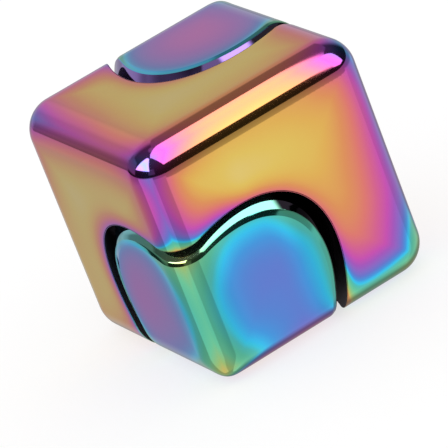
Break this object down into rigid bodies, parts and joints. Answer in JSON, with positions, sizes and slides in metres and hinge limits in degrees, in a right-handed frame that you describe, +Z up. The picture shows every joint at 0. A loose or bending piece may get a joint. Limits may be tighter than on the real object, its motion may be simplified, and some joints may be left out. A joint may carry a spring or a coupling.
{
  "type": "fidget spinner cube",
  "caption": "Rounded metal cube whose body spins about its own diagonal, on a bearing, between two corner finger pads with a rainbow coating.",
  "frame": {"origin": "centre of the face that the cube rests on", "axes": "+Z up, +X and -Y through the two faces that meet the base at the lower pad's corner; the spin axis is the body diagonal from that corner (+X, -Y, -Z) to the upper pad's corner (-X, +Y, +Z)"},
  "size_m": [0.028, 0.028, 0.028],
  "materials": {
    "body_coating": "polished",
    "pad_coating": "polished",
    "axle_steel": "satin",
    "bearing_steel": "polished",
    "shield_steel": "satin",
    "cage_steel": "satin",
    "ball_steel": "polished"
  },
  "bodies": {
    "grip": {"lower_pad": "pad_coating", "upper_pad": "pad_coating", "axle": "axle_steel", "lower_spacer": "axle_steel", "upper_spacer": "axle_steel", "inner_ring": "bearing_steel"},
    "spinner": {"spinner_body": "body_coating", "outer_ring": "bearing_steel", "lower_shield": "shield_steel", "upper_shield": "shield_steel"},
    "cage": {"ball_cage": "cage_steel"},
    "ball_01": {"ball_01": "ball_steel"},
    "ball_02": {"ball_02": "ball_steel"},
    "ball_03": {"ball_03": "ball_steel"},
    "ball_04": {"ball_04": "ball_steel"},
    "ball_05": {"ball_05": "ball_steel"},
    "ball_06": {"ball_06": "ball_steel"},
    "ball_07": {"ball_07": "ball_steel"},
    "ball_08": {"ball_08": "ball_steel"},
    "ball_09": {"ball_09": "ball_steel"},
    "ball_10": {"ball_10": "ball_steel"}
  },
  "joints": [
    {"name": "body_spin", "type": "hinge", "parent": "grip", "child": "spinner", "pos_m": [0, 0, 0.014], "axis": [-0.5774, 0.5774, 0.5774], "continuous": true},
    {"name": "cage_orbit", "type": "hinge", "parent": "grip", "child": "cage", "pos_m": [0, 0, 0.014], "axis": [-0.5774, 0.5774, 0.5774], "continuous": true},
    {"name": "ball_01_roll", "type": "hinge", "parent": "cage", "child": "ball_01", "pos_m": [-0.00355, -0.00041, 0.01085], "axis": [-0.5774, 0.5774, 0.5774], "continuous": true},
    {"name": "ball_02_roll", "type": "hinge", "parent": "cage", "child": "ball_02", "pos_m": [-0.0038, -0.0026, 0.0128], "axis": [-0.5774, 0.5774, 0.5774], "continuous": true},
    {"name": "ball_03_roll", "type": "hinge", "parent": "cage", "child": "ball_03", "pos_m": [-0.0026, -0.0038, 0.0152], "axis": [-0.5774, 0.5774, 0.5774], "continuous": true},
    {"name": "ball_04_roll", "type": "hinge", "parent": "cage", "child": "ball_04", "pos_m": [-0.00041, -0.00355, 0.01715], "axis": [-0.5774, 0.5774, 0.5774], "continuous": true},
    {"name": "ball_05_roll", "type": "hinge", "parent": "cage", "child": "ball_05", "pos_m": [0.00194, -0.00194, 0.01789], "axis": [-0.5774, 0.5774, 0.5774], "continuous": true},
    {"name": "ball_06_roll", "type": "hinge", "parent": "cage", "child": "ball_06", "pos_m": [0.00355, 0.00041, 0.01715], "axis": [-0.5774, 0.5774, 0.5774], "continuous": true},
    {"name": "ball_07_roll", "type": "hinge", "parent": "cage", "child": "ball_07", "pos_m": [0.0038, 0.0026, 0.0152], "axis": [-0.5774, 0.5774, 0.5774], "continuous": true},
    {"name": "ball_08_roll", "type": "hinge", "parent": "cage", "child": "ball_08", "pos_m": [0.0026, 0.0038, 0.0128], "axis": [-0.5774, 0.5774, 0.5774], "continuous": true},
    {"name": "ball_09_roll", "type": "hinge", "parent": "cage", "child": "ball_09", "pos_m": [0.00041, 0.00355, 0.01085], "axis": [-0.5774, 0.5774, 0.5774], "continuous": true},
    {"name": "ball_10_roll", "type": "hinge", "parent": "cage", "child": "ball_10", "pos_m": [-0.00194, 0.00194, 0.01011], "axis": [-0.5774, 0.5774, 0.5774], "continuous": true}
  ],
  "couplings": [
    {"joint": "cage_orbit", "follows": "body_spin", "ratio": 0.60415},
    {"joint": "ball_01_roll", "follows": "body_spin", "ratio": 2.2963},
    {"joint": "ball_02_roll", "follows": "body_spin", "ratio": 2.2963},
    {"joint": "ball_03_roll", "follows": "body_spin", "ratio": 2.2963},
    {"joint": "ball_04_roll", "follows": "body_spin", "ratio": 2.2963},
    {"joint": "ball_05_roll", "follows": "body_spin", "ratio": 2.2963},
    {"joint": "ball_06_roll", "follows": "body_spin", "ratio": 2.2963},
    {"joint": "ball_07_roll", "follows": "body_spin", "ratio": 2.2963},
    {"joint": "ball_08_roll", "follows": "body_spin", "ratio": 2.2963},
    {"joint": "ball_09_roll", "follows": "body_spin", "ratio": 2.2963},
    {"joint": "ball_10_roll", "follows": "body_spin", "ratio": 2.2963}
  ]
}
